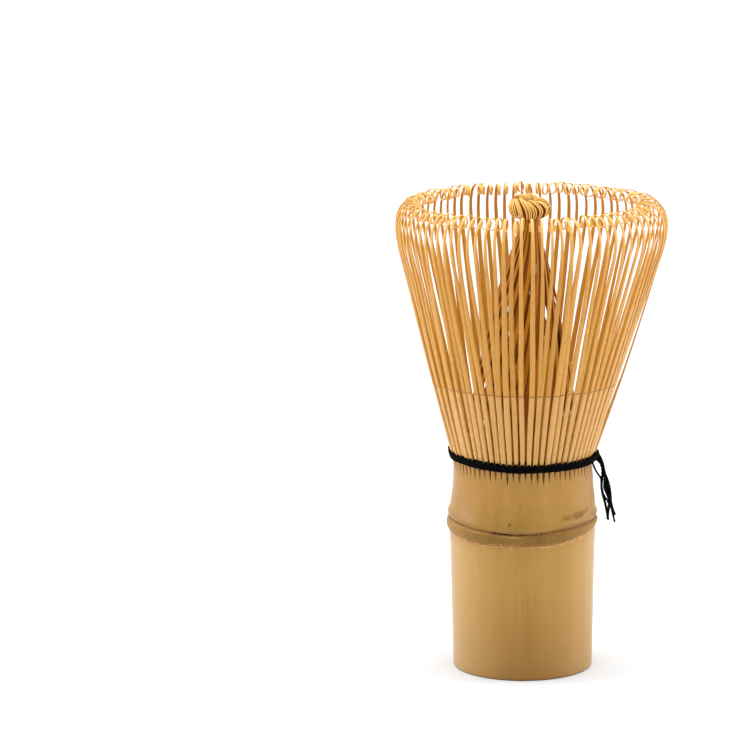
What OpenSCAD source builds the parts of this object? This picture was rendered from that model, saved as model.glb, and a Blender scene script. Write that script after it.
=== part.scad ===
// Bamboo tea whisk: one length of bamboo culm whose upper wall is split into
// two rings of fine springy tines, held open by a black thread woven round
// their roots. Millimetres, +Z up, foot of the handle on Z = 0.

/* [Handle] */
// Outer radius of the handle at its foot
base_r = 16.1; // [14:0.1:20]
// Outer radius of the handle just under the node ridge
grip_r = 16.6; // [14.5:0.1:20.5]
// Radius of the straight hollow inside the handle
bore_r = 12.9; // [8:0.1:13]
// Height of the solid wall that closes the hollow
septum_z = 31; // [24:0.5:32]
// Thickness of the solid wall
septum_t = 3; // [1.5:0.5:3.5]
// How far the node ridge stands out from the grip
ridge_out = 0.95; // [0.3:0.05:1.5]
// Height of the rim where the tines start
rim_z = 46.5; // [44:0.5:47]
// Outer radius of the neck under the thread
neck_r = 15.95; // [15.5:0.05:16.5]
// Radius of the cup above the solid wall
cup_r = 13.3; // [10:0.1:13.4]
// Edge break at the foot
foot_break = 0.4; // [0.1:0.1:1]

/* [Outer tines] */
// Tines that move together as one group
tines_per_group = 3; // [3:1:3]
// Number of groups round the crown
outer_groups = 24; // [24:1:24]
// Angle at which the tines open outward
flare = 16.1; // [12:0.1:17]
// Extra opening on the side the whisk leans to, as a share
lean = 0.133; // [0:0.001:0.15]
// Tine width at the root
outer_w = 1.0; // [0.6:0.05:1]
// Tine width at the tip
outer_tip_w = 0.65; // [0.4:0.05:0.7]
// Tine thickness at the root
outer_t = 0.85; // [0.5:0.05:0.9]
// Tine thickness at the tip
outer_tip_t = 0.22; // [0.15:0.01:0.3]
// How far the shaving mark is from the rim, along the tine
mark_s = 23; // [15:1:30]
// Total turn of the curled tip
curl_turn = 286; // [240:1:290]
// Length of the curled part of a tine
curl_len = 26; // [24:0.5:28]
// How far tines of one group lean together at the tip, in degrees
bunch = 0.8; // [0:0.1:1]

/* [Inner tines] */
// Tines in one group of the inner cone
inner_per_group = 4; // [2:2:4]
// Number of groups in the inner cone
inner_groups = 12; // [12:1:12]
// Radius of the ring of roots
inner_root_r = 13.9; // [13.7:0.05:14]
// Tine width at the root
inner_w = 0.75; // [0.5:0.05:0.8]
// Tine width in the knot
inner_tip_w = 0.32; // [0.2:0.01:0.34]
// Tine thickness
inner_t = 0.3; // [0.2:0.01:0.3]
// Radius of the waist below the knot
waist_r = 2.5; // [2.4:0.05:3]
// Height of the waist
waist_z = 104.5; // [103:0.1:105]
// Turn of the cone from its roots to the waist
cone_twist = 110; // [60:5:120]
// Sideways offset of the knot
knot_x = 1.5; // [0:0.1:2]

/* [Thread] */
// Diameter of the thread
thread_d = 0.58; // [0.4:0.01:0.6]
// Height of the middle turn
band_z = 50.2; // [50:0.1:50.5]
// Height from one turn to the next
turn_step = 0.6; // [0.6:0.01:0.7]
// Radius of the middle turn
band_r = 17.12; // [17.1:0.01:17.3]
// Radius of the turn woven between the tine rings
weave_r = 14.95; // [14.9:0.01:15]

/* [Hidden] */
$fn = 96;
eps = 0.01;
outer_count = outer_groups * tines_per_group;
inner_count = inner_groups * inner_per_group;
bamboo = [0.80, 0.62, 0.38];
tine_gold = [0.87, 0.65, 0.36];
tine_pale = [0.83, 0.67, 0.42];
thread_black = [0.09, 0.09, 0.09];

// Handle
ridge_r = grip_r + ridge_out;
septum_top = septum_z + septum_t;
slit_w = 0.3;
slit_depth = 1.2;
slit_r = 14.55;

// Outer tine path: a short bend at the root, a straight flare, a tight curl
path_step = 0.25;
root_clear = 0.1;
bend_z = 46;
bend_len = 4;
curl_z = 93;
straight_len = (curl_z - bend_z - bend_len) / cos(flare);
curl_s = bend_len + straight_len;
path_len = curl_s + curl_len;
curl_power = 3.45;
first_s = rim_z + root_clear - bend_z;
curl_rings = 12;

// Inner tine path: an S curve in to the waist, then a small loop
layer_gap = 0.37;
loop_r = 3.1;
loop_z = 108.2;
loop_a = 1.55;
loop_b = 2.2;
loop_in = 0.6;
loop_twist = 60;
loop_end = -50;
rise_rings = 11;
loop_rings = 8;

// Thread tails
tail_d = 0.6;
tail_sides = 8;
knot_az = 4;
long_tail = [
  [18.2, 1.2, 49.1], [18.7, 1.3, 47.5], [19.2, 1.2, 45.6], [19.8, 1.0, 43.4],
  [20.3, 0.8, 41.2], [20.7, 0.6, 39.0], [21.0, 0.4, 36.6], [21.3, 0.3, 34.0]
];
short_tail = [
  [17.3, -4.2, 48.4], [17.4, -4.2, 46.6], [17.8, -3.9, 44.8], [18.3, -3.3, 42.8],
  [18.8, -2.6, 40.8], [19.2, -1.9, 38.8], [19.5, -1.3, 36.7], [19.8, -0.8, 34.4]
];

function two(n) = n < 10 ? str("0", n) : str(n);
function outer_name(g) = str("outer_tines_", two(g));
function inner_name(g) = str("inner_tines_", two(g));
function unit(v) = v / norm(v);
function ease(x) = x * x * (3 - 2 * x);
function mix(a, b, k) = a + (b - a) * k;

// Lean of the outer tine from upright at arc length s
function tine_angle(s) =
  s < bend_len ? flare * ease(s / bend_len) :
  s < curl_s ? flare :
  flare - curl_turn * pow((s - curl_s) / curl_len, curl_power);

// Outer face of an outer tine as [radius, height] every path_step
tine_path = [
  for (
    i = 0, p = [neck_r, bend_z];
    i * path_step <= path_len;
    a = tine_angle((i + 0.5) * path_step),
    p = p + path_step * [sin(a), cos(a)],
    i = i + 1
  ) p
];

// Arc lengths of the cross-sections of an outer tine
outer_rings = concat(
  [first_s, 2, 3, bend_len + 1, mark_s, 36],
  [for (i = [0:curl_rings]) curl_s + (path_len - path_step - curl_s) * pow(i / curl_rings, 0.75)]
);

function path_at(s) =
  let (i = min(floor(s / path_step), len(tine_path) - 2))
  mix(tine_path[i], tine_path[i + 1], s / path_step - i);

// Centre of an outer tine's cross-section, with the lean and the bunching
function outer_point(az, drift, s) =
  let (
    p = path_at(s),
    r = neck_r + (p[0] - neck_r) * (1 + lean * cos(az)),
    a = az + drift * pow(s / path_len, 1.5)
  )
  [r * cos(a), r * sin(a), p[1]];

function outer_thick(s) = s < mark_s ? mix(outer_t, 0.6, s / mark_s)
  : mix(0.45, outer_tip_t, (s - mark_s) / (path_len - mark_s));
function outer_wide(s) = mix(outer_w, outer_tip_w, pow(s / path_len, 1.6));

// Centre line of an inner tine: rise (0 to 1), then loop (1 to 2)
function inner_r(u, side) =
  u <= 1 ? waist_r + side * layer_gap * u
    + (inner_root_r - waist_r) * pow((1 + cos(180 * u)) / 2, 0.87) :
  loop_r + (loop_a - (side > 0 ? loop_in : 0)) * cos(loop_angle(u));
function inner_z(u, side) =
  u <= 1 ? mix(rim_z, waist_z, u) :
  loop_z + (loop_b - (side > 0 ? loop_in : 0)) * sin(loop_angle(u));
function loop_angle(u) = mix(190, loop_end, u - 1);
function inner_turn(u) = cone_twist * pow(min(u, 1), 3) + loop_twist * max(u - 1, 0);
function inner_point(az, side, u) =
  let (a = az + inner_turn(u), r = inner_r(u, side))
  [r * cos(a) + knot_x * pow(min(u, 1), 2), r * sin(a), inner_z(u, side)];
inner_rings = concat(
  [for (i = [0:rise_rings]) pow(i / rise_rings, 0.8)],
  [for (i = [1:loop_rings]) 1 + i / loop_rings]
);

// Four corners of a flat strip's cross-section
function strip_ring(p, along, across, w, t) =
  let (side = unit(across - (across * along) * along), up = cross(along, side))
  [
    p - side * w / 2 - up * t / 2, p + side * w / 2 - up * t / 2,
    p + side * w / 2 + up * t / 2, p - side * w / 2 + up * t / 2
  ];

// Solid through a list of rings that all have the same number of corners
module loft(rings) {
  n = len(rings[0]);
  m = len(rings);
  points = [for (ring = rings) each ring];
  caps = [[for (j = [0:n - 1]) j], [for (j = [n - 1:-1:0]) (m - 1) * n + j]];
  walls = [
    for (i = [0:m - 2], j = [0:n - 1])
      let (a = i * n + j, b = i * n + (j + 1) % n)
      each [[a, a + n, b + n], [a, b + n, b]]
  ];
  polyhedron(points = points, faces = concat(caps, walls), convexity = 6);
}

module outer_tine(az, drift) {
  loft([
    for (s = outer_rings)
      let (
        p = outer_point(az, drift, s),
        q = outer_point(az, drift, s + 0.1),
        along = unit(q - p),
        a = az + drift * pow(s / path_len, 1.5),
        across = [-sin(a), cos(a), 0],
        inward = cross(along, unit(across))
      )
      strip_ring(p + inward * outer_thick(s) / 2, along, across, outer_wide(s), outer_thick(s))
  ]);
}

module inner_tine(az, side) {
  loft([
    for (u = inner_rings)
      let (
        h = 0.01,
        p = inner_point(az, side, u),
        low = inner_point(az, side, max(u <= 1 ? u - h : u - h, 0)),
        high = inner_point(az, side, u + (u < 2 ? h : 0)),
        along = u == 0 ? [0, 0, 1] : unit(high - low),
        a = az + inner_turn(u),
        across = [-sin(a), cos(a), 0],
        w = mix(inner_w, inner_tip_w, min(u, 1))
      )
      strip_ring(p, along, across, w, inner_t)
  ]);
}

module outer_group(g) {
  color(tine_gold)
    for (k = [0:tines_per_group - 1])
      outer_tine(
        360 / outer_count * ((g - 1) * tines_per_group + k),
        bunch * (1 - k) * (0.6 + 0.4 * sin(g * 77))
      );
}

module inner_group(g) {
  color(tine_pale)
    for (k = [0:inner_per_group - 1])
      inner_tine(360 / inner_count * ((g - 1) * inner_per_group + k), k % 2 == 0 ? 1 : -1);
}

module culm_blank() {
  rotate_extrude()
    polygon([
      [0, septum_z], [bore_r, septum_z], [bore_r, 0], [base_r - foot_break, 0],
      [base_r, foot_break], [grip_r, 30.6],
      [grip_r + 0.2, 31.4], [ridge_r - 0.25, 32.2], [ridge_r, 33.3], [ridge_r - 0.05, 34.3],
      [ridge_r - 0.5, 35.2], [ridge_r - 0.35, 36.3], [ridge_r - 0.45, 37.3],
      [neck_r + 0.9, 38.7], [neck_r + 0.6, 40.1], [neck_r + 0.25, 41.8],
      [neck_r + 0.05, 43.6], [neck_r, 45.2], [neck_r, rim_z],
      [cup_r, rim_z], [cup_r, septum_top + 1], [cup_r - 1, septum_top], [0, septum_top]
    ]);
}

module handle_culm() {
  color(bamboo)
    difference() {
      culm_blank();
      for (i = [0:outer_count - 1])
        rotate([0, 0, 360 / outer_count * (i + 0.5)])
          translate([slit_r, -slit_w / 2, rim_z - slit_depth])
            cube([3, slit_w, slit_depth + 1]);
    }
}

module thread_ring(r, z) {
  color(thread_black)
    translate([0, 0, z])
      rotate_extrude()
        translate([r, 0])
          circle(d = thread_d, $fn = 24);
}

module thread_weave() {
  thread_ring(weave_r, band_z + turn_step);
}

module thread_knot() {
  color(thread_black)
    rotate([0, 0, knot_az])
      translate([band_r + 0.75, 0, band_z])
        scale([0.5, 1, 0.8])
          sphere(r = 0.85, $fn = 24);
}

module cord(points, d) {
  n = len(points);
  color(thread_black)
    loft([
      for (i = [0:n - 1])
        let (
          along = unit(points[min(i + 1, n - 1)] - points[max(i - 1, 0)]),
          side = unit([0, 1, 0] - ([0, 1, 0] * along) * along),
          up = cross(along, side)
        )
        [
          for (j = [0:tail_sides - 1])
            points[i] + d / 2 * (side * cos(j * 360 / tail_sides) + up * sin(j * 360 / tail_sides))
        ]
    ]);
}

handle_culm();
for (g = [1:outer_groups])
  outer_group(g);
for (g = [1:inner_groups])
  inner_group(g);
thread_weave();
thread_ring(band_r - 0.16, band_z - turn_step);  // thread_turn_lower
thread_ring(band_r, band_z);  // thread_turn_middle
thread_ring(band_r + 0.18, band_z + turn_step);  // thread_turn_upper
thread_knot();
cord(long_tail, tail_d);  // thread_tail_long
cord(short_tail, tail_d);  // thread_tail_short
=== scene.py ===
import bpy, math, random
from mathutils import Matrix, Vector, noise


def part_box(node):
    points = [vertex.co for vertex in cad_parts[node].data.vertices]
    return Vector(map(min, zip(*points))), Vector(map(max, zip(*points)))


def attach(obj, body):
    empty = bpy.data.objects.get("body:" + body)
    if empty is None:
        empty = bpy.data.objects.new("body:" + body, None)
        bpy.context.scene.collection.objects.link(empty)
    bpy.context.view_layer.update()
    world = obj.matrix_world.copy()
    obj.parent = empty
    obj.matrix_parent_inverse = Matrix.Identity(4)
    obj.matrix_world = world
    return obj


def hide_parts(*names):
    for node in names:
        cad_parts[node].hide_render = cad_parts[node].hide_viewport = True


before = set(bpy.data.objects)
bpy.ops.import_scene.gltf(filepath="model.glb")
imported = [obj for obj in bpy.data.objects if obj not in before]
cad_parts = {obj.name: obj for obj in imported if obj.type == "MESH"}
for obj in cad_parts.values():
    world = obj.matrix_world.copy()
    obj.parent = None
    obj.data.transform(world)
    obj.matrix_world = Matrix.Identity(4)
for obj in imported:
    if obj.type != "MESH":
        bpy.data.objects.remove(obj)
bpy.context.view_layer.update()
MM = 0.001

# ---------------------------------------------------------------- driving sizes, in mm and degrees
culm_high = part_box("handle_culm")[1]
band_low, band_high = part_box("thread_turn_middle")
RIM_Z = culm_high[2] / MM                       # rim where the tines leave the culm
BAND_Z = (band_low[2] + band_high[2]) / 2 / MM  # middle of the thread band
NECK_R, BASE_R, BORE_R, CUP_R = 15.95, 16.1, 12.9, 13.3
SEPTUM_Z, SEPTUM_T = 31.0, 3.0                  # the natural wall inside at the node
SKIRT_Z = 50.0                                  # top of the handle mesh, hidden behind the thread
OUTER, GROUP = 72, 3
INNER, INNER_GROUP = 48, 4

# outer tine path, as the CAD draws it: upright, bent out to the flare, then curled in over the top
FLARE, LEAN = 16.1, 0.133
BEND_Z, BEND_LEN, CURL_Z = 46.0, 4.0, 93.0
CURL_LEN, CURL_TURN, CURL_POWER = 26.0, 286.0, 3.45
MARK_S = 23.0                                   # the scribed line, by length along the tine
CURL_S = BEND_LEN + (CURL_Z - BEND_Z - BEND_LEN) / math.cos(math.radians(FLARE))
PATH_LEN = CURL_S + CURL_LEN + 1.6
STEP = 0.25

# inner tine path: a twisted cone (height, radius), then a loop in the knot
WAIST_Z = 104.5
CONE = [(RIM_Z, 13.9), (60, 12.3), (70, 10.5), (78, 8.75), (84.4, 7.35),
        (88.5, 6.4), (94.6, 4.75), (100.7, 2.9), (WAIST_Z, 1.95)]
CONE_TWIST, LOOP_TWIST, KNOT_X = 62.0, 80.0, 1.5
LAYER_GAP = 0.34                                # inner tines lie this far either side of the cone
KNOT_R, KNOT_Z = 3.15, 108.2                    # centre line of the knot's ring
KNOT_W, KNOT_H = 1.52, 2.2                      # half its thickness, across and up


def mix(a, b, k):
    return a + (b - a) * k


def ease(x):
    x = min(1.0, max(0.0, x))
    return x * x * (3 - 2 * x)


def clamp(x):
    return max(0.0, min(1.0, x))


def hump(x, half):
    """1 at zero, falling straight to 0 at half on either side."""
    return max(0.0, 1 - abs(x) / half)


def bell(x, middle, width):
    return math.exp(-((x - middle) / width) ** 2)


WAVES = {}


def wave(a, seed, terms=4, low=1):
    """A smooth closed wiggle round the axis, about -1 to 1."""
    if seed not in WAVES:
        r = random.Random(seed)
        WAVES[seed] = [(low + k, r.uniform(0, math.tau), r.uniform(0.5, 1.0)) for k in range(terms)]
    return sum(math.sin(a * k + p) * h for k, p, h in WAVES[seed]) / (0.5 * terms + 0.5)


def table(rows, x):
    """The value at x between rows of (x, value), in straight steps."""
    if x <= rows[0][0]:
        return rows[0][1]
    for (x0, v0), (x1, v1) in zip(rows, rows[1:]):
        if x <= x1:
            return mix(v0, v1, (x - x0) / (x1 - x0))
    return rows[-1][1]


def mesh_object(name, verts, faces, smooth=True, attrs=None):
    me = bpy.data.meshes.new(name)
    me.from_pydata([(x * MM, y * MM, z * MM) for x, y, z in verts], [], faces)
    me.validate()
    me.update()
    if smooth:
        me.polygons.foreach_set("use_smooth", [True] * len(me.polygons))
    for key, values in (attrs or {}).items():
        a = me.attributes.new(key, "FLOAT", "POINT")
        a.data.foreach_set("value", values)
    ob = bpy.data.objects.new(name, me)
    bpy.context.scene.collection.objects.link(ob)
    return ob


def sweep(rings, attrs, store):
    """Joins rings of equal corner counts into a closed tube, added to store."""
    n = len(rings[0])
    base = len(store["v"])
    for i, ring in enumerate(rings):
        store["v"].extend(ring)
        for key, values in attrs.items():
            store["a"].setdefault(key, []).extend([values[i]] * n)
    for i in range(len(rings) - 1):
        for j in range(n):
            a, b = base + i * n + j, base + i * n + (j + 1) % n
            store["f"].append((a, b, b + n, a + n))
    store["f"].append(tuple(base + j for j in range(n - 1, -1, -1)))
    store["f"].append(tuple(base + (len(rings) - 1) * n + j for j in range(n)))


def new_store():
    return {"v": [], "f": [], "a": {}}


# ---------------------------------------------------------------- materials
def material(name):
    m = bpy.data.materials.new(name)
    m.use_nodes = True
    nt = m.node_tree
    return m, nt, nt.nodes["Principled BSDF"]


class Graph:
    """Short names for the shader nodes used below."""

    def __init__(self, nt):
        self.nt = nt

    def node(self, kind, **props):
        n = self.nt.nodes.new(kind)
        for k, v in props.items():
            setattr(n, k, v)
        return n

    def link(self, a, b):
        self.nt.links.new(a, b)

    def set(self, socket, value):
        if hasattr(value, "is_linked") or isinstance(value, bpy.types.NodeSocket):
            self.link(value, socket)
        else:
            socket.default_value = value

    def coords(self, scale=(1, 1, 1)):
        tc = self.node("ShaderNodeTexCoord")
        mp = self.node("ShaderNodeMapping")
        mp.inputs["Scale"].default_value = scale
        self.link(tc.outputs["Object"], mp.inputs["Vector"])
        return mp.outputs["Vector"]

    def attr(self, name):
        return self.node("ShaderNodeAttribute", attribute_name=name).outputs["Fac"]

    def noise(self, vector, scale, detail=3.0, rough=0.55, distortion=0.0):
        n = self.node("ShaderNodeTexNoise")
        self.link(vector, n.inputs["Vector"])
        n.inputs["Scale"].default_value = scale
        n.inputs["Detail"].default_value = detail
        n.inputs["Roughness"].default_value = rough
        n.inputs["Distortion"].default_value = distortion
        return n.outputs["Fac"]

    def remap(self, value, a, b, c=0.0, d=1.0):
        n = self.node("ShaderNodeMapRange", clamp=True)
        self.set(n.inputs["Value"], value)
        for key, v in (("From Min", a), ("From Max", b), ("To Min", c), ("To Max", d)):
            n.inputs[key].default_value = v
        return n.outputs["Result"]

    def math(self, op, a, b=0.0):
        n = self.node("ShaderNodeMath", operation=op)
        self.set(n.inputs[0], a)
        self.set(n.inputs[1], b)
        return n.outputs["Value"]

    def blend(self, fac, a, b, mode="MIX"):
        n = self.node("ShaderNodeMix", data_type="RGBA", blend_type=mode)
        self.set(n.inputs[0], fac)
        self.set(n.inputs[6], a if not isinstance(a, tuple) else (*a, 1.0))
        self.set(n.inputs[7], b if not isinstance(b, tuple) else (*b, 1.0))
        return n.outputs[2]

    def ramp(self, fac, stops):
        n = self.node("ShaderNodeValToRGB")
        self.link(fac, n.inputs["Fac"])
        els = n.color_ramp.elements
        while len(els) < len(stops):
            els.new(0.5)
        for e, (p, c) in zip(els, stops):
            e.position = p
            e.color = (*c, 1.0)
        return n.outputs["Color"]

    def bump(self, height, strength, distance, normal=None):
        n = self.node("ShaderNodeBump")
        n.inputs["Strength"].default_value = strength
        n.inputs["Distance"].default_value = distance
        self.link(height, n.inputs["Height"])
        if normal is not None:
            self.link(normal, n.inputs["Normal"])
        return n.outputs["Normal"]


def handle_material():
    m, nt, bsdf = material("bamboo_skin")
    g = Graph(nt)
    fibre = g.noise(g.coords((2600, 2600, 34)), 1.0, 4, 0.6)
    broad = g.noise(g.coords((330, 330, 11)), 1.0, 3, 0.5)
    blotch = g.noise(g.coords((95, 95, 60)), 1.0, 3, 0.5)
    base = g.ramp(g.remap(broad, 0.30, 0.70),
                  [(0.0, (0.405, 0.200, 0.028)), (0.5, (0.430, 0.218, 0.035)), (1.0, (0.460, 0.243, 0.047))])
    base = g.blend(g.remap(fibre, 0.40, 0.78, 0.0, 0.30), base, (0.275, 0.117, 0.015))
    base = g.blend(g.remap(blotch, 0.5, 0.75, 0.0, 0.22), base, (0.52, 0.30, 0.078))
    # painted shade: the skin is painted darker toward the foot
    z = g.node("ShaderNodeSeparateXYZ")
    g.link(g.coords(), z.inputs[0])
    base = g.blend(g.remap(z.outputs["Z"], 0.022, -0.002, 0.0, 0.72), base, (0.225, 0.100, 0.012))
    # painted light: the left and right sides of the grip are painted paler as painted side light, and painted
    # shade gives the neck a deeper yellow at its sides
    painted_side_light_by_x = g.math("ADD", g.remap(z.outputs["X"], -0.003, -0.015, 0.0, 0.60),
                      g.remap(z.outputs["X"], 0.004, 0.015, 0.0, 0.38))
    pale = g.math("MULTIPLY", painted_side_light_by_x, g.remap(z.outputs["Z"], 0.034, 0.030))
    base = g.blend(pale, base, (0.53, 0.325, 0.112))
    sides = g.remap(g.math("ABSOLUTE", z.outputs["X"]), 0.006, 0.0145, 0.0, 0.65)
    deep = g.math("MULTIPLY", sides, g.remap(z.outputs["Z"], 0.035, 0.037))
    base = g.blend(deep, base, (0.350, 0.160, 0.010))
    # olive tint above the node, then the band, the brown fringe and its torn flakes
    olive = g.math("MULTIPLY", g.attr("olive"), g.remap(blotch, 0.35, 0.6, 0.6, 1.0))
    base = g.blend(olive, base, (0.205, 0.126, 0.014))
    band = g.math("MULTIPLY", g.attr("band"), g.remap(fibre, 0.3, 0.65, 1.0, 0.75))
    base = g.blend(band, base, (0.140, 0.073, 0.011))
    fringe = g.math("MULTIPLY", g.attr("fringe"), g.remap(fibre, 0.3, 0.6, 0.75, 1.0))
    base = g.blend(fringe, base, (0.300, 0.108, 0.022))
    base = g.blend(g.attr("flake"), base, (0.60, 0.345, 0.135))
    # specks, the smear on the right, and the small marks: dark spots, the pale cut faces, the black crack
    # with a painted shade line at the foot, and painted shade in the slits
    speck = g.noise(g.coords((900, 900, 600)), 1.0, 2, 0.5)
    base = g.blend(g.remap(speck, 0.77, 0.785, 0.0, 0.6), base, (0.13, 0.06, 0.02))
    smear = g.math("MULTIPLY", g.attr("smear"), g.remap(speck, 0.35, 0.6, 0.55, 1.0))
    base = g.blend(smear, base, (0.20, 0.084, 0.016))
    for mark, colour in (("spot", (0.03, 0.015, 0.006)), ("slit", (0.16, 0.065, 0.014)),
                         ("cut", (0.62, 0.38, 0.15)), ("crack", (0.014, 0.006, 0.003))):
        base = g.blend(g.attr(mark), base, colour)
    g.link(base, bsdf.inputs["Base Color"])
    # glossy skin, matt where it is marked
    grain = g.math("ADD", g.math("MULTIPLY", fibre, 0.5), g.math("MULTIPLY", blotch, 0.5))
    rough = g.remap(grain, 0.3, 0.7, 0.30, 0.50)
    worn = g.attr("band")
    for mark in ("fringe", "crack", "spot", "smear"):
        worn = g.math("MAXIMUM", worn, g.attr(mark))
    g.link(g.math("MAXIMUM", rough, g.remap(worn, 0.0, 0.8, 0.3, 0.85)), bsdf.inputs["Roughness"])
    fine = g.bump(fibre, 0.22, 0.00006)
    g.link(g.bump(broad, 0.2, 0.0002, fine), bsdf.inputs["Normal"])
    bsdf.inputs["Specular IOR Level"].default_value = 0.36
    bsdf.inputs["Sheen Weight"].default_value = 0.13
    bsdf.inputs["Sheen Roughness"].default_value = 0.35
    return m


def tine_material(name, low, high, tip, dark, skin, inside, glow, shine):
    """Bamboo split along its grain: 'along' runs 0 at the root to 1 at the tip, 'tone' differs per tine."""
    m, nt, bsdf = material(name)
    g = Graph(nt)
    fibre = g.noise(g.coords((4200, 4200, 90)), 1.0, 3, 0.6)
    along, tone = g.attr("along"), g.attr("tone")
    base = g.blend(tone, low, high)
    base = g.blend(g.attr("skin"), base, skin)
    base = g.blend(g.remap(fibre, 0.4, 0.75, 0.0, 0.5), base, dark)
    # toward the tip the colour turns to the tip colour: on the outer tines the curls' own lighter colour
    # raised with painted highlight, on the inner tines a painted highlight on the knot
    base = g.blend(g.remap(along, 0.70, 0.93, 0.0, 1.0), base, tip)
    # the inside colour: on the outer tines a deeper orange with a painted glow of light shining through, on
    # the inner tines painted shade
    base = g.blend(g.attr("inside"), base, inside)
    base = g.blend(g.attr("mark"), base, (0.20, 0.085, 0.018))
    g.link(base, bsdf.inputs["Base Color"])
    g.link(g.remap(fibre, 0.3, 0.7, 0.34, 0.52), bsdf.inputs["Roughness"])
    g.link(g.bump(fibre, 0.25, 0.00004), bsdf.inputs["Normal"])
    bsdf.inputs["Specular IOR Level"].default_value = shine
    bsdf.inputs["Subsurface Weight"].default_value = glow
    bsdf.inputs["Subsurface Radius"].default_value = (1.0, 0.42, 0.10)
    bsdf.inputs["Subsurface Scale"].default_value = 0.0006
    return m


def thread_material():
    m, nt, bsdf = material("black_cotton")
    g = Graph(nt)
    fuzz = g.noise(g.coords((5200, 5200, 5200)), 1.0, 4, 0.65)
    base = g.ramp(g.remap(fuzz, 0.3, 0.75),
                  [(0.0, (0.0004, 0.0004, 0.0005)), (1.0, (0.0032, 0.0031, 0.0034))])
    base = g.blend(g.math("MULTIPLY", g.attr("tone"), 0.4), base, (0.0035, 0.0035, 0.0042))
    g.link(base, bsdf.inputs["Base Color"])
    g.link(g.remap(fuzz, 0.3, 0.7, 0.75, 0.95), bsdf.inputs["Roughness"])
    g.link(g.bump(fuzz, 0.6, 0.00009), bsdf.inputs["Normal"])
    bsdf.inputs["Specular IOR Level"].default_value = 0.05
    return m


MAT_HANDLE = handle_material()
# outer tines: the tip colour is raised with painted highlight, and the inside colour carries a painted glow
# of light shining through
MAT_OUTER = tine_material("shaved_tine", low=(0.56, 0.272, 0.041), high=(0.66, 0.342, 0.064),
                          tip=(0.86, 0.53, 0.155), dark=(0.42, 0.165, 0.014), skin=(0.67, 0.385, 0.120),
                          inside=(0.57, 0.262, 0.010), glow=0.26, shine=0.38)
# inner tines: the inside colour is painted shade, and the tip colour is a painted highlight on the knot
MAT_INNER = tine_material("inner_tine", low=(0.43, 0.155, 0.008), high=(0.55, 0.222, 0.015),
                          tip=(0.95, 0.550, 0.150), dark=(0.32, 0.115, 0.008), skin=(0.50, 0.25, 0.06),
                          inside=(0.30, 0.085, 0.002), glow=0.10, shine=0.20)
MAT_THREAD = thread_material()

# ---------------------------------------------------------------- outer tine path
def tine_angle(s, turn, power, tight):
    """Lean of the outer tine at length s, in degrees from upright; past the top it closes into a loop."""
    if s < BEND_LEN:
        return FLARE * ease(s / BEND_LEN)
    if s < CURL_S:
        return FLARE
    top = CURL_S + CURL_LEN * ((90 + FLARE) / turn) ** (1 / power)
    if s <= top:
        return FLARE - turn * ((s - CURL_S) / CURL_LEN) ** power
    d = s - top
    slow = turn * power / CURL_LEN * ((90 + FLARE) / turn) ** (1 - 1 / power)
    ramp = d * d / 4.4 if d < 2.2 else d - 1.1
    return -90 - slow * d - (40 * tight - slow) * ramp - 0.7 * d * d


def tine_path(turn=CURL_TURN, power=CURL_POWER, tight=1.0, length=PATH_LEN):
    pts = [(NECK_R, BEND_Z)]
    for i in range(int(length / STEP)):
        a = math.radians(tine_angle((i + 0.5) * STEP, turn, power, tight))
        r, z = pts[-1]
        pts.append((r + STEP * math.sin(a), z + STEP * math.cos(a)))
    return pts


BASE_PATH = tine_path()


def path_at(pts, s):
    k = min(max(s / STEP, 0.0), len(pts) - 1.001)
    i = int(k)
    f = k - i
    return mix(pts[i][0], pts[i + 1][0], f), mix(pts[i][1], pts[i + 1][1], f)


def neck_radius(z):
    """Outer radius of the tine roots at height z, below the flare."""
    return path_at(BASE_PATH, max(0.0, z - BEND_Z) * 1.003)[0]


# ---------------------------------------------------------------- handle
# radius by height: the grip, the lower ridge, the crack at 35.2, the upper ridge, the neck
PROFILE = [(0, 16.2), (8, 16.38), (16, 16.56), (24, 16.74), (28, 16.86), (30.4, 16.93), (31.4, 16.96),
           (31.9, 17.0), (32.1, 17.3), (32.6, 17.58), (33.2, 17.74), (33.8, 17.74), (34.4, 17.55),
           (34.9, 17.24), (35.2, 17.05), (35.5, 17.22), (36.0, 17.42), (36.6, 17.42), (37.2, 17.22),
           (38.2, 16.88), (39.5, 16.6), (41.0, 16.32), (42.5, 16.12), (44.0, 16.0), (45.2, 15.95),
           (46.0, 15.95)]
# dark specks: angle, height, radius
SPECKS = ((259.9, 37.15, 0.36), (268.0, 41.4, 0.24), (268.0, 38.0, 0.2), (222.0, 29.6, 0.22))
SLIT_Z, SLIT_RISE = 46.9, 2.6                   # where the slits start, and how fast they open
TOOTH, TOOTH_COLS = math.tau / OUTER, 10        # pitch of the outer tines, and mesh columns to one


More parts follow.
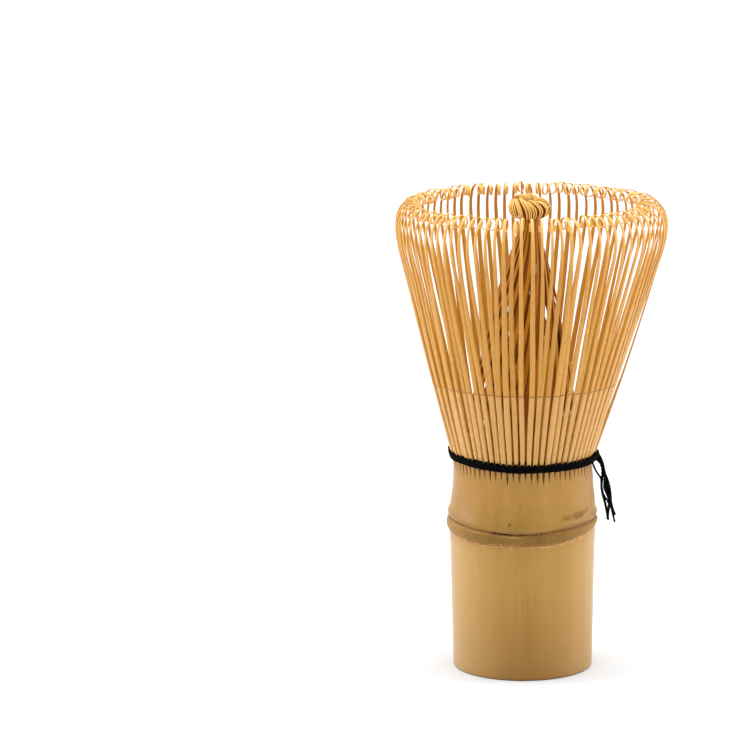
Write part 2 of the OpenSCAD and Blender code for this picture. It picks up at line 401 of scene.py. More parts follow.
def culm_radius(z, a):
    """Outer radius at height z and angle a, and the heights of the node's crack and fringe there."""
    c = math.cos(a)
    rise = 1.05 * c if c > 0 else 1.10 * (-c) ** 1.5
    crack = 34.78 + rise + 0.08 * wave(a, 5, 5) + 0.07 * wave(a, 6, 9, 7) + 0.05 * wave(a, 16, 12, 38)
    rise = 2.1 * c ** 2.5 if c > 0 else 0.85 * c ** 6
    fringe = 32.05 + rise + 0.10 * wave(a, 8, 5) + 0.12 * wave(a, 9, 14, 11) + 0.09 * wave(a, 11, 16, 28)
    if z <= fringe:
        zz = z * 32.0 / fringe
    elif z <= crack:
        zz = 32.0 + (z - fringe) / (crack - fringe) * 3.2
    else:
        zz = mix(z, z + 35.2 - crack, max(0.0, 1 - (z - crack) / 4.0))
    r = table(PROFILE, zz)
    if z > BEND_Z:
        r = neck_radius(z)
    d = z - crack
    r -= 0.30 * hump(d, 0.17) * clamp(0.62 + 0.55 * wave(a, 12, 7, 4))
    r -= 0.10 * hump(d - 0.75, 0.2) * max(0.0, wave(a, 13, 6, 3))
    # flaky lower fringe
    if 0 < z - fringe < 0.9:
        r += (0.05 + 0.10 * wave(a, 14, 20, 30)) * (1 - (z - fringe) / 0.9)
    if -1.6 < d < -0.2:
        r += 0.035 * wave(a, 15, 10, 12)
    r += 0.03 * wave(a, 2, 4) * (1 if z < 44 else 0.3)
    # not quite round: the neck is fuller on one side, the ridge lower
    fuller = 0.42 * max(0.0, c) + 0.18 * max(0.0, -c)
    r += fuller * ease((z - 37.5) / 3.5) * (1 - ease((z - 45.5) / 3.5))
    r -= 0.24 * max(0.0, c) ** 2 * ease((z - fringe + 0.4) / 0.8) * ease((crack + 1.2 - z) / 1.0)
    return r, crack, fringe


def skin_marks(a, r, z, crack, fringe):
    """How strongly each mark of the skin shows at a point, 0 to 1; the front is at 270 degrees."""
    d = z - crack
    deg = math.degrees(a) % 360
    fore = ease((deg - 238) / 12) * ease((294 - deg) / 14)
    broad = ease((deg - 200) / 20) * ease((275 - deg) / 20)
    rough, fine = wave(a, 23, 14, 18), wave(a, 25, 20, 40)
    at = Vector((r * math.cos(a), r * math.sin(a), z))
    grit = noise.noise(at * 1.3) + 0.6 * noise.noise(at * 2.9)

    # olive tint above the crack, and the dark band between fringe and crack
    olive, band = 0.0, 0.0
    if d > 0:
        olive = hump(d - 1.6, 5.4) * (0.62 + 0.35 * wave(a, 21, 3)) * (0.6 + 0.4 * ease((300 - deg) / 40))
    if fringe < z < crack:
        band = 0.72 + 0.18 * fore + 0.14 * wave(a, 22, 5, 4) + 0.12 * grit
        # the band is painted lighter toward the left and right sides: painted side light
        band = band * ease((z - fringe + 0.1) / 0.3) * (1 - 0.5 * math.cos(a) ** 6)
    elif d >= 0:
        band = (0.42 + 0.15 * wave(a, 27, 7, 5)) * max(0.0, 1 - d / 2.3) ** 1.6

    # brown fringe, along the lower edge and along the crack
    half = 0.50 + 0.30 * broad + 0.16 * rough
    edge = z - fringe - 0.18 + 0.08 * rough + 0.22 * grit
    brown = hump(edge, half) ** 0.5 * (0.80 + 0.3 * fine + 0.35 * grit)
    brown = max(brown, 0.85 * hump(d - 0.05, 0.42 + 0.18 * rough) ** 0.7 * (0.8 + 0.3 * fine))
    if z < fringe:
        brown = max(brown, 0.35 * hump(fringe - z, 1.0) * (0.3 + 0.8 * wave(a, 24, 16, 14)))

    # pale torn flakes: under the fringe, in it, and a streak below the crack
    edge = z - fringe + 0.22 + 0.10 * wave(a, 28, 18, 22) + 0.25 * grit
    flake = min(1.0, 1.6 * hump(edge, 0.30)) * max(0.0, 0.42 + 0.5 * wave(a, 29, 22, 34) + 0.9 * grit)
    inner = 0.8 * hump(z - fringe - 0.34 - 0.1 * rough, 0.30) * (0.4 + 0.8 * broad) * max(0.0, 1.8 * grit)
    streak = (hump(d + 0.55, 0.3) * ease((deg - 196) / 14) * ease((285 - deg) / 30)
              * (0.26 + 0.2 * wave(a, 30, 6, 9) + 0.3 * grit))
    flake = max(flake, inner, streak)

    # black crack, a nick at the left of the fringe, broken dark edges, and a painted shade line where the
    # foot stands on the floor
    dark = hump(d + 0.12 * grit, 0.27 + 0.09 * wave(a, 33, 10, 24)) ** 0.6 * (0.34 + 0.66 * fore)
    dark *= clamp(0.55 + 0.5 * wave(a, 26, 14, 26) + 0.55 * fore * ease((275 - deg) / 20) + 1.1 * grit)
    nick = 0.9 * max(0.0, 1 - math.hypot((deg - 190) / 4.5, (z - fringe + 0.1 * rough) / 0.35))
    edge = z - fringe + 0.02 + 0.2 * fine
    dark = max(dark, nick, 0.55 * hump(edge, 0.20) * max(0.0, 0.8 * wave(a, 37, 18, 26) + grit))
    # painted shade round the foot, kept in the crack mark
    if z < 0.3:
        dark = max(dark, 0.75 * (1 - z / 0.3))

    # the smear on the right, above the crack, and the specks
    level = z - 38.35 - (deg - 320) * 0.035 - 0.22 * wave(a, 34, 6, 9)
    reach = ((deg - 318) / 19) ** 2 + (level / (0.86 + 0.30 * wave(a, 35, 9, 14))) ** 2
    smear = min(1.0, 1.8 * max(0.0, 1 - reach)) * max(0.0, 0.75 + 0.35 * wave(a, 31, 12, 16) + 0.35 * grit)
    smear = max(smear, 0.45 * max(0.0, 1 - ((deg - 325) / 34) ** 2) * hump(d - 0.5, 0.8))
    spot = 0.0
    for speck_deg, speck_z, speck_r in SPECKS:
        apart = (deg - speck_deg + 180) % 360 - 180
        near = 1 - math.hypot(math.radians(apart) * r, z - speck_z) / speck_r
        spot = max(spot, (1.0 if speck_r > 0.3 else 0.5) * near)

    marks = {"olive": olive * 0.8, "band": band, "fringe": brown, "flake": flake,
             "crack": dark, "smear": smear, "spot": spot * 1.6}
    return {key: clamp(value) for key, value in marks.items()}


def handle_heights():
    """Mesh rows up the outside: close together at the foot, the node and the slits."""
    heights = [0.0, 0.15, 0.4, 1.2]
    heights += [1.2 + (30.2 - 1.2) * i / 16 for i in range(1, 17)]
    heights += [30.2 + 0.115 * i for i in range(1, 62)]
    heights += [mix(37.22, 43.6, i / 12) for i in range(1, 13)]
    heights += [mix(43.6, SKIRT_Z, i / 24) for i in range(1, 25)]
    return heights


def slit_opening(z, low):
    """How far open a slit is at height z if it starts at low, and half its width as a share of the tooth."""
    opened = min(1.0, (z - low) / SLIT_RISE) ** 1.3 if z > low else 0.0
    return opened, 0.018 + 0.24 * opened


def tooth_column(c, z, slit_low):
    """Angle of mesh column c at height z, and how deep the slit cuts the skin there."""
    i, j = divmod(c, TOOTH_COLS)
    opened, h = slit_opening(z, slit_low[i] if j < 6 else slit_low[(i + 1) % OUTER])
    place = [0.0, 0.62 * h, h, h + 0.06, 0.32, 0.5, 0.68, 1 - h - 0.06, 1 - h, 1 - 0.62 * h][j]
    depth = 0.0
    if j in (0, 1, 9):
        depth = 0.72 * min(1.0, opened * 2.2)
    elif opened > 0 and j in (2, 8):
        depth = 0.05
    elif opened > 0 and j == 5:
        depth = -0.03 * opened
    return (i + place + 0.5) * TOOTH, depth


def build_handle():
    cols = OUTER * TOOTH_COLS
    heights = handle_heights()
    rng = random.Random(72)
    slit_low = [SLIT_Z + 0.40 * rng.uniform(-1, 1) - (0.8 if rng.random() < 0.2 else 0) for _ in range(OUTER)]
    verts, faces = [], []
    attrs = {k: [] for k in ("olive", "fringe", "flake", "crack", "smear", "cut", "slit", "spot", "band")}

    def put(x, y, z, **marks):
        verts.append((x, y, z))
        for k in attrs:
            attrs[k].append(marks.get(k, 0.0))

    def put_ring(r, z, cut, ripple=0.0):
        for c in range(cols):
            a = (c / TOOTH_COLS + 0.5) * TOOTH
            rr = r + ripple * wave(a, 41, 6)
            put(rr * math.cos(a), rr * math.sin(a), z, cut=cut)

    def join_rows(low, high, flip=False):
        """Faces between two rings of columns, given by the index of their first corner."""
        for c in range(cols):
            a, b = low + c, low + (c + 1) % cols
            over, beside = high + c, high + (c + 1) % cols
            faces.append((b, a, over, beside) if flip else (a, b, beside, over))

    for z in heights:
        for c in range(cols):
            a, depth = tooth_column(c, z, slit_low)
            r, crack, fringe = culm_radius(z, a)
            if z < 0.4:
                r -= 0.25 * (1 - z / 0.4) ** 2
            r -= depth
            # painted shade on the faces inside the open slits, kept in the slit mark
            slit = min(1.0, depth * 1.6) if depth > 0.02 else 0.0
            cut = 1.0 if z < 0.1 else 0.0
            put(r * math.cos(a), r * math.sin(a), z, cut=cut, slit=slit, **skin_marks(a, r, z, crack, fringe))

    # inside: tooth backs, rim, cup wall and natural wall, then the bore back to the foot
    wall_z = SEPTUM_Z + SEPTUM_T
    inside = [(neck_radius(SKIRT_Z) - 0.85, SKIRT_Z), (NECK_R - 0.85, RIM_Z), (CUP_R + 0.2, RIM_Z),
              (CUP_R, RIM_Z - 0.2), (CUP_R, wall_z + 1.0), (CUP_R - 0.35, wall_z + 0.3),
              (CUP_R - 1.1, wall_z), (6.0, wall_z - 0.15), (0.6, wall_z - 0.3)]
    for r, z in inside:
        put_ring(r, z, 1.0 if z > 40 else 0.5, 0.04 if r > 5 else 0.0)
    bore = [(BASE_R - 0.5, 0.0), (BORE_R + 0.15, 0.0), (BORE_R, 0.2), (BORE_R, 15.0),
            (BORE_R, SEPTUM_Z - 0.8), (BORE_R - 0.3, SEPTUM_Z - 0.2), (BORE_R - 1.0, SEPTUM_Z),
            (5.0, SEPTUM_Z + 0.1), (0.6, SEPTUM_Z + 0.15)]
    for r, z in bore:
        put_ring(r, z, 1.0 if z < 1 else 0.6)

    rows = len(heights) + len(inside)
    for row in range(rows - 1):
        join_rows(row * cols, (row + 1) * cols)
    top = (rows - 1) * cols
    put(0, 0, wall_z - 0.3, cut=0.5)
    middle = len(verts) - 1
    for c in range(cols):
        faces.append((top + c, top + (c + 1) % cols, middle))
    first = rows * cols
    join_rows(0, first, flip=True)
    for row in range(len(bore) - 1):
        join_rows(first + row * cols, first + (row + 1) * cols, flip=True)
    last = first + (len(bore) - 1) * cols
    put(0, 0, SEPTUM_Z + 0.15, cut=0.6)
    middle = len(verts) - 1
    for c in range(cols):
        faces.append((last + (c + 1) % cols, last + c, middle))
    ob = mesh_object("handle_shell", verts, faces, attrs=attrs)
    ob.data.materials.append(MAT_HANDLE)
    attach(ob, "whisk_core")
    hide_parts("handle_culm")


# ---------------------------------------------------------------- tines
def strip_section(p, along, across, w, t, bevel=0.22):
    """Eight corners of a flat strip with broken edges: 0 and 1 on one face, 4 and 5 on the other."""
    side = (across - along * across.dot(along)).normalized()
    up = along.cross(side)
    hw, ht = w / 2, t / 2
    b = min(bevel * t, 0.4 * hw)
    pts = [(-hw + b, -ht), (hw - b, -ht), (hw, -ht + b), (hw, ht - b),
           (hw - b, ht), (-hw + b, ht), (-hw, ht - b), (-hw, -ht + b)]
    return [tuple(p + side * x + up * y) for x, y in pts]


# which way the three tines of a group lean together
PAIRS = [(1, -1, 0), (0, 1, -1), (1, -1, 0), (1.15, 0, -1.15), (0, 1, -1)]


def strip_plan():
    """Every strip of the crown: its tine, which side of it, and how far its tip stands from its root.

    One tine in four is split again just above the thread, so 72 roots carry 90 tips."""
    plan = []
    for g in range(OUTER // GROUP):
        forked = random.Random(40 + g).randrange(GROUP) if g % 4 != 3 else None
        for k in range(GROUP):
            i = g * GROUP + k
            plan += [(i, -1), (i, 1)] if k == forked else [(i, 0)]
    root = [i * 360.0 / OUTER for i, _ in plan]
    tip = [j * 360.0 / len(plan) for j in range(len(plan))]
    shift = sum(r - t for r, t in zip(root, tip)) / len(plan)
    return [(i, side, t + shift - r) for (i, side), r, t in zip(plan, root, tip)]


def outer_strip(number, index, side, drift, store):
    """One strip from its root under the thread to its curled tip, a little different from the others."""
    az0 = math.tau / OUTER * index
    g, k = divmod(index, GROUP)
    gr = random.Random(300 + g)
    lean_in = gr.choice(PAIRS)[k] * gr.uniform(0.28, 0.50)
    r = random.Random(1000 + number)
    fork_s = random.Random(700 + index).uniform(6, 22)
    turn = CURL_TURN + r.gauss(4, 8)
    power = CURL_POWER + r.uniform(-0.10, 0.10)
    tight = r.uniform(0.94, 1.12) * (0.95 + 0.09 * math.sin(az0))
    yaw = math.radians(3 + r.gauss(0, 4.5))
    turned = 5 + 16 * bell(math.degrees(az0), 247, 20) + 8 * bell(math.degrees(az0), 102, 16)
    twist = math.radians(turned + r.gauss(0, 7))
    sway = r.gauss(0, 0.2)
    bow = random.Random(2000 + index).gauss(0, 0.25)
    wide = r.uniform(0.92, 1.08)
    tone = random.Random(4000 + index).random() * 0.8 + 0.2 * r.random()
    pts = tine_path(turn, power, tight, PATH_LEN + r.uniform(-0.6, 0.6))
    length = (len(pts) - 1) * STEP
    s_top = CURL_S + CURL_LEN * ((90 + FLARE) / turn) ** (1 / power)
    s_list = [3.4, 4.2, 5.5, 8, 12, 16, 20]
    s_list += [MARK_S + d for d in (-1.6, -0.35, -0.12, 0, 0.14, 0.5, 2)]
    s_list += [mix(MARK_S + 2, CURL_S, i / 10) for i in range(1, 11)]
    s_list += [mix(CURL_S, s_top, (i / 16) ** 0.8) for i in range(1, 17)]
    s_list += [mix(s_top, length - 0.3, i / 26) for i in range(1, 27)]
    rings, attrs = [], {"along": [], "tone": [], "mark": [], "skin": [], "inside": []}
    s_max = CURL_S + CURL_LEN * (FLARE / turn) ** (1 / power)
    r_max = path_at(pts, s_max)[0]
    r_top = path_at(pts, s_top)[0]

    def width(s):
        w = (mix(1.00, 1.24, ease((s - 3) / 12)) * mix(1.0, 0.82, ease((s - 32) / 20))
             * mix(1.0, 0.61, ease((s - 48) / 20)) * wide)
        return w * (mix(0.54, 0.86, ease((s - fork_s) / 24)) if side else 1.0)

    def point(s):
        pr, pz = path_at(pts, s)
        stretch = 1 + LEAN * math.cos(az0)
        rad = NECK_R + (pr - NECK_R) * stretch
        spread = ease((s - fork_s) / (60 - fork_s)) if side else ease((s - 12) / 48)
        tangent = spread * math.radians(drift) * rad + sway * (s / PATH_LEN) ** 2
        tangent += side * 0.27 * (1 - spread)
        tangent += lean_in * ease((s - 14) / 30) * (1 - 0.9 * ease((s - 47) / 15)) * (0.4 if side else 1.0)
        # the tines either side of the front stand apart
        apart = (math.degrees(az0) - 272.6) / 9
        push = 0.6 * math.copysign(math.exp(-apart * apart), apart)
        tangent += push * ease((s - 8) / 26) * (1 - 0.85 * ease((s - 48) / 14))
        if s > s_max:
            d = (max(pr, r_top) if s < s_top else r_top) - r_max
            d *= stretch
            rad += d * (math.cos(yaw) - 1)
            tangent -= d * math.sin(yaw)
        if s > s_top:
            d = (pr - r_top) * stretch
            t = yaw + twist
            rad += d * (math.cos(t) - 1)
            tangent -= d * math.sin(t) + 0.05 * (s - s_top)
        rad += bow * math.sin(math.pi * min(1.0, s / CURL_S)) * (1 if s < CURL_S else 0)
        rad -= tangent * tangent / (2 * rad)
        er = Vector((math.cos(az0), math.sin(az0), 0))
        et = Vector((-math.sin(az0), math.cos(az0), 0))
        return er * rad + et * tangent + Vector((0, 0, pz)), er, et

    for s in s_list:
        p, er, et = point(s)
        q = point(s + 0.05)[0]
        o = point(s - 0.05)[0]
        along = (q - o).normalized()
        if s < MARK_S:
            t = mix(0.85, 0.62, s / MARK_S)
        else:
            t = mix(0.50, 0.17, ((s - MARK_S) / (length - MARK_S)) ** 0.85)
        if MARK_S - 0.2 < s < MARK_S + 0.05:
            t -= 0.10
        w = width(s) * (1 - 0.35 * ease((s - (length - 2.5)) / 2.5))
        f = yaw * ease((s - s_max + 4) / 8) + twist * ease((s - s_top + 3) / 5)
        f += math.radians(drift) * ease((s - 16) / 44)
        across = et * math.cos(f) + er * math.sin(f)
        up = along.cross((across - along * across.dot(along)).normalized())
        rings.append(strip_section(p + up * (t / 2), along, across, w, t))
        attrs["along"].append(s / length)
        attrs["tone"].append(tone)
        attrs["mark"].append(0.0)
        attrs["skin"].append(0.9 * (1 - ease((s - MARK_S + 0.3) / 0.5)))
        attrs["inside"].append(0.0)
    base = len(store["v"])
    sweep(rings, attrs, store)
    for i, s in enumerate(s_list):
        # the scribed line is on the outer face only
        if abs(s - (MARK_S - 0.02)) < 0.14:
            for j in (0, 1):
                store["a"]["mark"][base + i * 8 + j] = 0.85
        # the sides and the inner face are painted a deeper orange: the split flesh, deepened with a painted
        # glow of light shining through
        f = 0.9 * ease((s - 8) / 22) * (1 - 0.5 * ease((s - s_max - 6) / 6))
        for j, share in ((4, 1.0), (5, 1.0), (3, 0.8), (6, 0.8), (2, 0.45), (7, 0.45)):
            store["a"]["inside"][base + i * 8 + j] = f * share


def build_outer():
    plan = strip_plan()
    for g in range(1, OUTER // GROUP + 1):
        store = new_store()
        for number, (index, side, drift) in enumerate(plan):
            if index // GROUP + 1 == g:
                outer_strip(number, index, side, drift, store)
        ob = mesh_object(f"outer_tine_set_{g:02d}", store["v"], store["f"], attrs=store["a"])
        ob.data.materials.append(MAT_OUTER)
        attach(ob, f"outer_group_{g:02d}")
        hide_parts(f"outer_tines_{g:02d}")


def inner_point(az, layer, u, lift, skew=0.0):
    """A point on an inner tine: 0 root, 1 waist, 2 end of the loop in the knot."""
    turn = CONE_TWIST * min(u, 1) ** 1.4 + (LOOP_TWIST + skew) * ease(max(u - 1, 0) / 0.7)
    if u <= 1:
        z = mix(RIM_Z, WAIST_Z, u)
        rad = table(CONE, z) + layer * LAYER_GAP * ease(u / 0.3) - 0.25
    else:
        b = math.radians(mix(196, -105, ease(u - 1) * 0.4 + (u - 1) * 0.6))
        k = 0.62 if layer > 0 else 0.0
        rad = KNOT_R + (KNOT_W - k) * math.cos(b)
        z = KNOT_Z + (KNOT_H - k) * math.sin(b)
        rad = mix(table(CONE, WAIST_Z) + layer * LAYER_GAP - 0.25, rad, ease((u - 1) / 0.12))
        z = mix(WAIST_Z + (u - 1) * 12, z, ease((u - 1) / 0.12))
    a = az + math.radians(turn)
    if u > 1:
        # the turban leans: high at the back left, with a dimple right of the middle
        top = max(0.0, math.sin(b))
        dent = abs((math.degrees(a) - 90) % 180 - 88)
        z += (lift + 0.35 * math.cos(a - math.radians(150)) - 0.55 * math.exp(-(dent / 22) ** 2)) * top
        rad += lift * 0.5 * max(0.0, math.cos(b))
    return Vector((rad * math.cos(a) + KNOT_X * min(u, 1) ** 2, rad * math.sin(a), z)), a


def inner_tine(index, store):
    """One inner tine, from the rim to its loop in the knot; every second one is split lengthwise.

    The split ones lie outside in the knot, so it shows 48 fine strands."""
    r = random.Random(5000 + index)
    az = math.tau / INNER * index + math.radians(r.gauss(0, 0.8))
    layer = 1 if index % INNER_GROUP % 2 == 0 else -1
    tone = r.random()
    lag = r.gauss(0, 0.62)
    wide = r.uniform(0.88, 1.14)
    lift = r.gauss(0, 0.22)
    skew = r.gauss(0, 3)
    us = [(i / 26) ** 0.8 for i in range(27)] + [1 + i / 26 for i in range(1, 27)]
    for half in (0,) if layer > 0 else (-1, 1):
        rings, attrs = [], {"along": [], "tone": [], "mark": [], "skin": [], "inside": []}
        rise = lift + 0.12 * half * r.uniform(-1, 1)
        for u in us:
            h = 0.004
            p, a = inner_point(az, layer, u, rise, skew)
            o = inner_point(az, layer, max(u - h, 0), rise, skew)[0]
            q = inner_point(az, layer, min(u + h, 2.0), rise, skew)[0]
            along = (q - o).normalized()
            er = Vector((math.cos(a), math.sin(a), 0))
            et = Vector((-math.sin(a), math.cos(a), 0))
            wob = math.sin(math.pi * min(u, 1)) * lag
            p = p + et * wob * 0.5 + er * wob * 0.2
            w = mix(1.56, 0.54, min(u, 1.0) ** 1.6) * wide
            if layer < 0:
                w *= 1 + 0.22 * math.sin(math.pi * min(u, 1.0)) ** 0.7
            else:
                w *= 1 - 0.16 * ease((u - 0.3) / 0.5)
            pitch = math.tau * math.hypot(p.x - KNOT_X, p.y) / INNER
            k = ease((u - 1) / 0.25)
            if half:
                p = p + et * half * mix(0.25 * w, 0.5 * pitch, k)
                w = mix(0.5 * w, min(0.40 * wide, 0.66 * pitch), k)
            else:
                w = mix(w, min(0.9, 2.2 * pitch), k)
            t = mix(0.42, 0.24, min(u, 1.0))
            rings.append(strip_section(p, along, et, w, t, 0.3))
            # in the knot the loops take the tip colour as a painted highlight
            attrs["along"].append(min(u, 1.0) * 0.66 + 0.34 * ease((u - 1) / 0.4))
            attrs["tone"].append(min(1.0, max(0.0, tone + 0.30 * half * min(max(u, 0.6), 1.0))))
            attrs["mark"].append(0.0)
            attrs["skin"].append(0.0)
            attrs["inside"].append(0.0)
        base = len(store["v"])
        sweep(rings, attrs, store)
        # painted shade: backs and sides, the under layer of the cone, and between the strands of the knot are
        # painted darker
        for i, u in enumerate(us):
            back = 1 - ease((u - 1) * 8)
            shares = [0.0, 0.0, 0.7 * back, 0.9 * back, 0.8 * back, 0.8 * back, 0.9 * back, 0.7 * back]
            if half and u > 1.04:
                shares = [1.0, 1.0, 1.0, 0.4, 0.0, 0.0, 0.4, 1.0]
            if layer > 0 and u > 1.08:
                shares = [1.0] * 8
            elif layer < 0 and u < 1:
                shares = [0.75 * ease((1 - u) / 0.1)] * 8
            for j, share in enumerate(shares):
                store["a"]["inside"][base + i * 8 + j] = share


def build_inner():
    for g in range(1, INNER // INNER_GROUP + 1):
        store = new_store()
        for k in range(INNER_GROUP):
            inner_tine((g - 1) * INNER_GROUP + k, store)
        ob = mesh_object(f"inner_tine_set_{g:02d}", store["v"], store["f"], attrs=store["a"])
        ob.data.materials.append(MAT_INNER)
        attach(ob, "whisk_core")
        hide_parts(f"inner_tines_{g:02d}")


# ---------------------------------------------------------------- thread
def strand_tube(points, radius, store, tone, sides=7):
    """A thin yarn through the points."""
    n = len(points)
    rings, attrs = [], {"tone": []}
    ref = Vector((0.13, 0.21, 0.97)).normalized()
    for i in range(n):
        t = (points[min(i + 1, n - 1)] - points[max(i - 1, 0)]).normalized()
        s = (ref - t * ref.dot(t)).normalized()
        u = t.cross(s)
        ref = s
        turns = [k * math.tau / sides for k in range(sides)]
        rings.append([tuple(points[i] + (s * math.cos(a) + u * math.sin(a)) * radius) for a in turns])
        attrs["tone"].append(tone)
    sweep(rings, attrs, store)


def yarn(centre, n, plies, ply_r, twist_r, turns, store, seed, sides=6):
    """Plies twisted round a centre line given as a function of 0 to 1."""
    r = random.Random(seed)
    phase = r.uniform(0, math.tau)
    for p in range(plies):
        pts = []
        for i in range(n + 1):
            f = i / n
            c, side, up = centre(f)
            a = phase + p * math.tau / plies + turns * math.tau * f
            pts.append(c + side * math.cos(a) * twist_r + up * math.sin(a) * twist_r)
        strand_tube(pts, ply_r, store, r.random(), sides)


def ring_line(radius_of, z_of, start=0.0, sweep_turns=1.0):
    def centre(f):
        a = start + f * sweep_turns * math.tau
        rr, z = radius_of(a, f), z_of(a, f)
        er = Vector((math.cos(a), math.sin(a), 0))
        return er * rr + Vector((0, 0, z)), er, Vector((0, 0, 1))
    return centre


KNOT_AZ = math.radians(4)


def left_rise(a):
    """The band climbs a little on the left."""
    return 0.75 * max(0.0, -math.cos(a)) ** 1.3


def build_thread():
    # three turns of one thread of three plies, climbing as it goes round
    store = new_store()

    def band_r(a, f):
        r = neck_radius(BAND_Z - 0.95 + 1.45 * f) + 0.42
        r = r + 0.26 * max(0.0, math.cos(a)) - 0.12 * max(0.0, -math.cos(a))
        return r + 0.06 * wave(a, 71, 9, 5) + 0.05 * wave(a * 3, 73, 9, 11)

    def band_z(a, f):
        z = BAND_Z - 0.98 + 1.50 * f + left_rise(a)
        return z + 0.09 * wave(a, 72, 8, 4) + 0.05 * wave(a * 3, 74, 9, 9)

    yarn(ring_line(band_r, band_z, KNOT_AZ, 3.0), n=1800, plies=3, ply_r=0.21, twist_r=0.20, turns=165,
         store=store, seed=7)
    ob = mesh_object("thread_band", store["v"], store["f"], attrs=store["a"])
    ob.data.materials.append(MAT_THREAD)
    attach(ob, "whisk_core")
    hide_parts("thread_turn_lower", "thread_turn_middle", "thread_turn_upper")

    # the turn that weaves in and out between the two rings of tines
    store = new_store()

    def weave_r(a, f):
        inout = 0.5 + 0.5 * math.cos(a * OUTER)
        return mix(15.2, neck_radius(51.0) + 0.30, inout ** 0.8)

    def weave_z(a, f):
        return BAND_Z + 0.95 + left_rise(a) - 0.26 * math.cos(a * OUTER) + 0.08 * wave(a, 75, 9, 6)

    yarn(ring_line(weave_r, weave_z, KNOT_AZ, 1.0), n=OUTER * 16, plies=2, ply_r=0.21, twist_r=0.17, turns=80,
         store=store, seed=9)
    ob = mesh_object("thread_woven_turn", store["v"], store["f"], attrs=store["a"])
    ob.data.materials.append(MAT_THREAD)
    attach(ob, "whisk_core")
    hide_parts("thread_weave")


def smooth_line(ctrl):
    """Catmull-Rom through the control points, as a function of 0 to 1."""
    pts = [Vector(c) for c in ctrl]
    pts = [pts[0] * 2 - pts[1]] + pts + [pts[-1] * 2 - pts[-2]]
    m = len(pts) - 3

    def at(f):
        x = min(f, 0.99999) * m
        i = int(x)
        t = x - i
        p0, p1, p2, p3 = pts[i:i + 4]
        return 0.5 * ((2 * p1) + (p2 - p0) * t + (2 * p0 - 5 * p1 + 4 * p2 - p3) * t * t
                      + (3 * p1 - p0 - 3 * p2 + p3) * t ** 3)

    def centre(f):
        c = at(f)
        d = (at(min(f + 0.01, 1)) - at(max(f - 0.01, 0))).normalized()
        s = Vector((0, 1, 0))
        s = (s - d * s.dot(d)).normalized()
        return c, s, d.cross(s)
    return centre


# the tie: three crossing loops, from its middle outward, sideways and by height
TIE_LOOPS = [
    [(-0.55, -1.5, 49.4), (0.1, -0.7, 50.1), (0.35, 0.2, 49.8), (0.3, 0.6, 49.0),
     (0.1, 0.0, 48.6), (0.35, -0.5, 49.2), (0.2, -0.1, 50.2), (-0.2, 0.5, 51.1)],
    [(-0.6, 1.5, 49.5), (0.05, 0.8, 50.1), (0.42, -0.1, 50.0), (0.4, -0.5, 49.3),
     (0.2, -0.1, 48.5), (0.35, 0.4, 49.0), (0.1, 0.9, 50.2)],
    [(-0.3, -0.9, 49.0), (0.4, -0.3, 48.6), (0.65, 0.3, 48.1), (0.45, 0.9, 48.7), (-0.2, 1.3, 49.2)],
]
# the frayed ends: each yarn's route and how thick it is
LONG_END = [
    ([(17.3, 0.8, 50.4), (17.75, 0.9, 49.2), (18.05, 0.9, 47.7), (18.45, 0.9, 45.8), (19.1, 0.8, 44.0),
      (19.6, 0.7, 42.2), (19.85, 0.6, 40.4), (20.0, 0.5, 38.6), (20.35, 0.4, 37.1), (20.9, 0.3, 35.6)], 1.0),
    ([(15.85, -4.3, 49.3), (15.85, -3.7, 48.2), (16.1, -3.2, 47.5), (16.5, -2.3, 46.5), (17.1, -1.2, 45.4),
      (17.6, -0.3, 44.3), (17.75, 0.1, 42.5), (18.2, 0.0, 40.7), (19.3, 0.0, 38.7), (20.0, 0.0, 37.4),
      (20.4, 0.0, 35.8), (20.9, 0.0, 33.9)], 0.78),
    ([(17.4, 0.6, 49.0), (18.1, 1.3, 46.9), (18.6, 1.3, 44.6), (18.9, 1.2, 42.6), (19.4, 1.1, 40.8),
      (19.8, 1.0, 39.0)], 1.0),
]
SHORT_END = [
    ([(17.2, 0.5, 49.2), (17.9, 0.4, 46.8), (17.9, 0.4, 44.3), (17.75, 0.5, 42.6), (17.95, 0.4, 41.0),
      (18.35, 0.3, 39.4), (18.75, 0.2, 37.8), (19.05, 0.1, 36.3), (19.35, 0.0, 34.5)], 1.0),
    ([(17.5, 0.1, 48.9), (18.35, 0.0, 45.9), (18.5, 0.0, 43.9), (18.45, 0.1, 42.2), (19.05, -0.3, 40.7),
      (19.55, -0.4, 39.1), (19.45, -0.4, 37.6), (19.3, -0.4, 36.3), (19.2, -0.5, 34.8)], 1.0),
]


def build_tie():
    store = new_store()
    x0, y0 = 17.25 * math.cos(KNOT_AZ), 17.25 * math.sin(KNOT_AZ)
    for k, loop in enumerate(TIE_LOOPS):
        line = smooth_line([(x0 + x, y0 + y, z) for x, y, z in loop])
        yarn(line, n=60, plies=3, ply_r=0.20, twist_r=0.18, turns=6, store=store, seed=90 + k)
    ob = mesh_object("thread_tie", store["v"], store["f"], attrs=store["a"])
    ob.data.materials.append(MAT_THREAD)
    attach(ob, "whisk_core")
    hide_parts("thread_knot")


def build_tails():
    for name, group, node in (("thread_end_long", LONG_END, "thread_tail_long"),
                              ("thread_end_short", SHORT_END, "thread_tail_short")):
        store = new_store()
        for k, (route, thick) in enumerate(group):
            # below the band the ends stand clear of the handle
            line = smooth_line([(x + 0.6 * ease((50.2 - z) / 2), y, z) for x, y, z in route])
            yarn(line, n=160, plies=2, ply_r=0.185 * thick, twist_r=0.165 * thick, turns=12 + 2 * k,
                 store=store, seed=120 + k + len(name), sides=8)
        ob = mesh_object(name, store["v"], store["f"], attrs=store["a"])
        ob.data.materials.append(MAT_THREAD)
        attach(ob, "thread_tails")
        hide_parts(node)


build_handle()
build_outer()
build_inner()
build_thread()
build_tie()
build_tails()

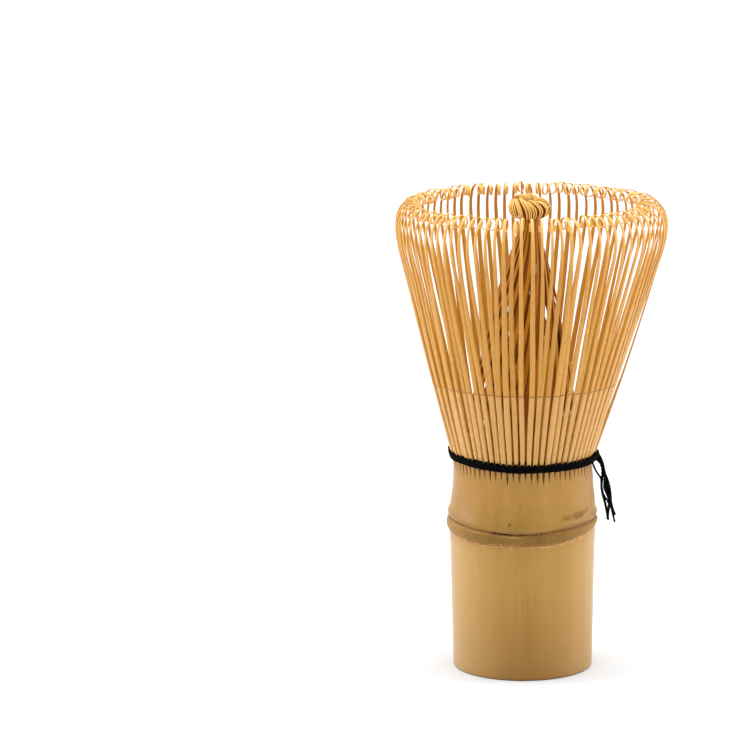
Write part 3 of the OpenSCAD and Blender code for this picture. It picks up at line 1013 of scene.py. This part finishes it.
# ---------------------------------------------------------------- floor, light and camera
def floor_material():
    m, nt, bsdf = material("studio_white")
    g = Graph(nt)
    soft = g.noise(g.coords((6, 6, 6)), 1.0, 2, 0.5)
    split = g.node("ShaderNodeSeparateXYZ")
    g.link(g.coords(), split.inputs[0])
    near = g.ramp(soft, [(0.0, (0.750, 0.775, 0.803)), (1.0, (0.768, 0.793, 0.822))])
    square = [g.math("POWER", split.outputs[axis], 2.0) for axis in ("X", "Y")]
    away = g.math("SQRT", g.math("ADD", *square))
    g.link(g.blend(g.remap(away, 0.35, 1.4), near, (0.99, 0.99, 0.99)), bsdf.inputs["Base Color"])
    bsdf.inputs["Roughness"].default_value = 0.75
    bsdf.inputs["Specular IOR Level"].default_value = 0.2
    return m


def build_stage():
    """A pale floor that curves up into a back wall."""
    start, bend_y, bend_r, wall_z, half = -3.0, 1.3, 0.9, 3.5, 4.0
    profile = [(start, 0.0), (bend_y, 0.0)]
    for t in range(10, 91, 10):
        a = math.radians(t)
        profile.append((bend_y + bend_r * math.sin(a), bend_r - bend_r * math.cos(a)))
    profile.append((bend_y + bend_r, wall_z))
    verts, faces = [], []
    for y, z in profile:
        verts += [(-half, y, z), (half, y, z)]
    for i in range(len(profile) - 1):
        faces.append((2 * i, 2 * i + 1, 2 * i + 3, 2 * i + 2))
    me = bpy.data.meshes.new("studio_floor")
    me.from_pydata(verts, [], faces)
    me.polygons.foreach_set("use_smooth", [True] * len(me.polygons))
    ob = bpy.data.objects.new("studio_floor", me)
    bpy.context.scene.collection.objects.link(ob)
    me.materials.append(floor_material())


def area(name, pos, target, size, power, size_y=None):
    li = bpy.data.lights.new(name, "AREA")
    li.energy = power
    li.shape = "RECTANGLE"
    li.size = size
    li.size_y = size_y or size
    ob = bpy.data.objects.new(name, li)
    ob.location = pos
    d = Vector(target) - Vector(pos)
    ob.rotation_euler = d.to_track_quat("-Z", "Y").to_euler()
    bpy.context.scene.collection.objects.link(ob)


def build_light():
    """A white tent: bright at the sides, behind and above, dimmer where the camera stands."""
    world = bpy.data.worlds.new("studio")
    bpy.context.scene.world = world
    world.use_nodes = True
    g = Graph(world.node_tree)
    bg = world.node_tree.nodes["Background"]
    tc = g.node("ShaderNodeTexCoord")
    split = g.node("ShaderNodeSeparateXYZ")
    g.link(tc.outputs["Generated"], split.inputs[0])
    front = g.remap(split.outputs["Y"], -0.95, -0.1, 0.0, 1.0)
    level = g.remap(front, 0.0, 1.0, 0.58, 1.24)
    g.link(level, bg.inputs["Strength"])
    bg.inputs["Color"].default_value = (1.0, 1.0, 1.0, 1.0)
    area("left_box", (-0.8, 0.10, 0.30), (0, 0, 0.06), size=0.5, power=3.7, size_y=0.9)
    area("right_box", (0.8, 0.10, 0.30), (0, 0, 0.06), size=0.5, power=3.4, size_y=0.9)
    area("top_box", (0.0, 0.05, 0.9), (0, 0, 0.05), size=0.8, power=5.0)


def build_camera():
    """The photograph's view: nearly level, the whisk right of the middle."""
    cam = bpy.data.cameras.new("camera")
    ob = bpy.data.objects.new("camera", cam)
    bpy.context.scene.collection.objects.link(ob)
    yaw, pitch, roll = math.radians(-2.225), math.radians(-11.165), math.radians(-0.432)
    cam.sensor_width = 36.0
    cam.lens = 204.74
    cam.clip_start = 0.01
    look = Vector((math.sin(yaw) * math.cos(pitch), math.cos(yaw) * math.cos(pitch), math.sin(pitch)))
    side = Vector((math.cos(yaw), -math.sin(yaw), 0.0))
    up = side.cross(look)
    right = side * math.cos(roll) + up * math.sin(roll)
    over = up * math.cos(roll) - side * math.sin(roll)
    m = Matrix((right, over, -look)).transposed().to_4x4()
    m.translation = (0.0, -0.9423, 0.2575)
    ob.matrix_world = m
    bpy.context.scene.camera = ob


build_stage()
build_light()
build_camera()
bpy.context.scene.view_settings.view_transform = "Standard"
